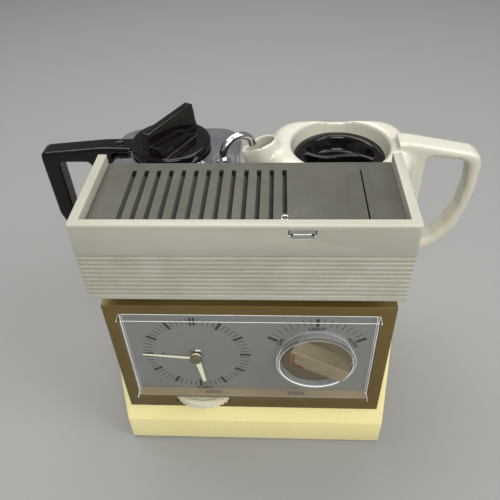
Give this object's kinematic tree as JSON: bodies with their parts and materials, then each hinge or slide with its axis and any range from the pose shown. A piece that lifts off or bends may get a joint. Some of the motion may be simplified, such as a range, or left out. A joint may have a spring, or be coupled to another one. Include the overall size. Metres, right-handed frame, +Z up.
{
  "type": "bedside tea maker",
  "caption": "Bedside tea maker: cream base with clock, alarm wheel and lamp, and a chromed kettle that siphons into a ceramic teapot.",
  "frame": {"origin": "on the table, under the middle of the whole appliance's bounding rectangle", "axes": "+X to the right seen from the clock side, towards the teapot; +Y from the clock to the back; +Z up"},
  "size_m": [0.3332, 0.176, 0.254],
  "materials": {
    "cream_plastic": "moulded cream plastic, satin gloss",
    "dark_plate": "dark painted steel plate",
    "zinc_screw": "zinc plated steel",
    "black_rubber": "moulded rubber",
    "gold_brown": "satin brown-gold paint",
    "clear_acrylic": "clear moulded acrylic",
    "dial_grey": "pale blue-grey printed dial",
    "taupe_plastic": "taupe moulded plastic",
    "grey_plastic": "grey technical plastic",
    "copper_coil": "varnished copper coil in a steel frame",
    "plated_steel": "plated pressed steel",
    "ivory_plastic": "ivory moulded plastic",
    "lume_hands": "pale luminous cream paint",
    "brass_parts": "turned brass",
    "milk_plastic": "translucent milk-white acrylic, satin",
    "brushed_aluminium": "brushed aluminium",
    "bulb_glass": "frosted glass bulb with a metal cap",
    "chrome": "polished chrome plate",
    "black_gloss": "glossy black phenolic",
    "cream_glaze": "cream glazed earthenware"
  },
  "bodies": {
    "base": {"front_casing": "cream_plastic", "rear_tray": "cream_plastic", "base_plate": "dark_plate", "base_screws": "zinc_screw", "rubber_feet": "black_rubber", "cord_gland": "black_rubber", "gland_nut": "grey_plastic", "terminal_block": "ivory_plastic", "buzzer": "plated_steel", "clock_bezel": "gold_brown", "clock_lens": "clear_acrylic", "lens_floor_strip": "taupe_plastic", "dial_plate": "dial_grey", "movement_case": "grey_plastic", "clock_motor": "copper_coil", "alarm_bracket": "plated_steel", "alarm_axle": "zinc_screw", "rotary_switch": "grey_plastic", "lamp_chassis": "plated_steel", "lamp_holders": "ivory_plastic", "lamp_bulbs": "bulb_glass", "hinge_pin": "zinc_screw", "weigh_bracket": "plated_steel", "weight_switch": "grey_plastic", "platform_spring": "zinc_screw"},
    "alarm_setter": {"alarm_wheel": "ivory_plastic"},
    "hour": {"hour_hand": "lume_hands", "hour_tube": "brass_parts"},
    "minute": {"minute_hand": "lume_hands", "minute_arbor": "brass_parts", "hub_cap": "taupe_plastic"},
    "time_setter": {"set_shaft": "plated_steel", "set_knob": "black_gloss"},
    "control": {"control_knob": "taupe_plastic", "switch_shaft": "plated_steel"},
    "shade": {"lamp_shade": "milk_plastic", "grille_plate": "brushed_aluminium", "shade_clip": "plated_steel", "wire_clip": "chrome"},
    "platform": {"kettle_platform": "plated_steel", "platform_connector": "black_gloss"},
    "plunger": {"switch_plunger": "ivory_plastic"},
    "kettle": {"kettle_body": "chrome", "neck_ring": "chrome", "kettle_handle": "black_gloss", "handle_screw": "dark_plate", "siphon_tube": "chrome", "tube_nut": "chrome", "heating_element": "plated_steel", "kettle_terminal": "black_gloss"},
    "seal": {"lid_seal": "black_rubber"},
    "lid": {"kettle_lid": "black_gloss"},
    "teapot": {"teapot_body": "cream_glaze"},
    "teapot_lid": {"pot_lid": "black_gloss"}
  },
  "joints": [
    {"name": "time_set", "type": "hinge", "parent": "base", "child": "time_setter", "pos_m": [-0.0186, 0.08, 0.087], "axis": [0, 1, 0], "continuous": true},
    {"name": "minute_turn", "type": "hinge", "parent": "base", "child": "minute", "pos_m": [-0.0446, -0.077, 0.1145], "axis": [0, 1, 0], "continuous": true},
    {"name": "hour_turn", "type": "hinge", "parent": "base", "child": "hour", "pos_m": [-0.0446, -0.077, 0.1145], "axis": [0, 1, 0], "continuous": true},
    {"name": "alarm_turn", "type": "hinge", "parent": "base", "child": "alarm_setter", "pos_m": [-0.0446, -0.057, 0.0575], "axis": [0, 0, 1], "continuous": true},
    {"name": "control_turn", "type": "hinge", "parent": "base", "child": "control", "pos_m": [0.0439, -0.077, 0.1145], "axis": [0, 1, 0], "range_deg": [0, 120]},
    {"name": "shade_lift", "type": "slide", "parent": "base", "child": "shade", "axis": [0, 0, 1], "range_m": [0, 0.12]},
    {"name": "platform_tilt", "type": "hinge", "parent": "base", "child": "platform", "pos_m": [-0.0616, 0.059, 0.095], "axis": [-1, 0, 0], "range_deg": [-1.2, 0], "stiffness_Nm_per_rad": 4, "springref_deg": 5.73, "deforming": ["platform_spring"]},
    {"name": "plunger_press", "type": "slide", "parent": "base", "child": "plunger", "axis": [0, 0, 1], "range_m": [-0.0012, 0]},
    {"name": "kettle_lift", "type": "slide", "parent": "platform", "child": "kettle", "axis": [0, 0, 1], "range_m": [0, 0.1]},
    {"name": "lid_lift", "type": "slide", "parent": "kettle", "child": "seal", "axis": [0, 0, 1], "range_m": [0, 0.06]},
    {"name": "lid_turn", "type": "hinge", "parent": "seal", "child": "lid", "pos_m": [-0.0641, 0.027, 0.23], "axis": [0, 0, 1], "continuous": true},
    {"name": "teapot_slide", "type": "slide", "parent": "base", "child": "teapot", "axis": [1, 0, 0], "range_m": [0, 0.16]},
    {"name": "teapot_lid_lift", "type": "slide", "parent": "teapot", "child": "teapot_lid", "axis": [0, 0, 1], "range_m": [0, 0.06]}
  ],
  "couplings": [
    {"joint": "minute_turn", "follows": "time_set", "ratio": 1},
    {"joint": "hour_turn", "follows": "time_set", "ratio": 0.083333},
    {"joint": "plunger_press", "follows": "platform_tilt", "m_per_rad": 0.047}
  ]
}
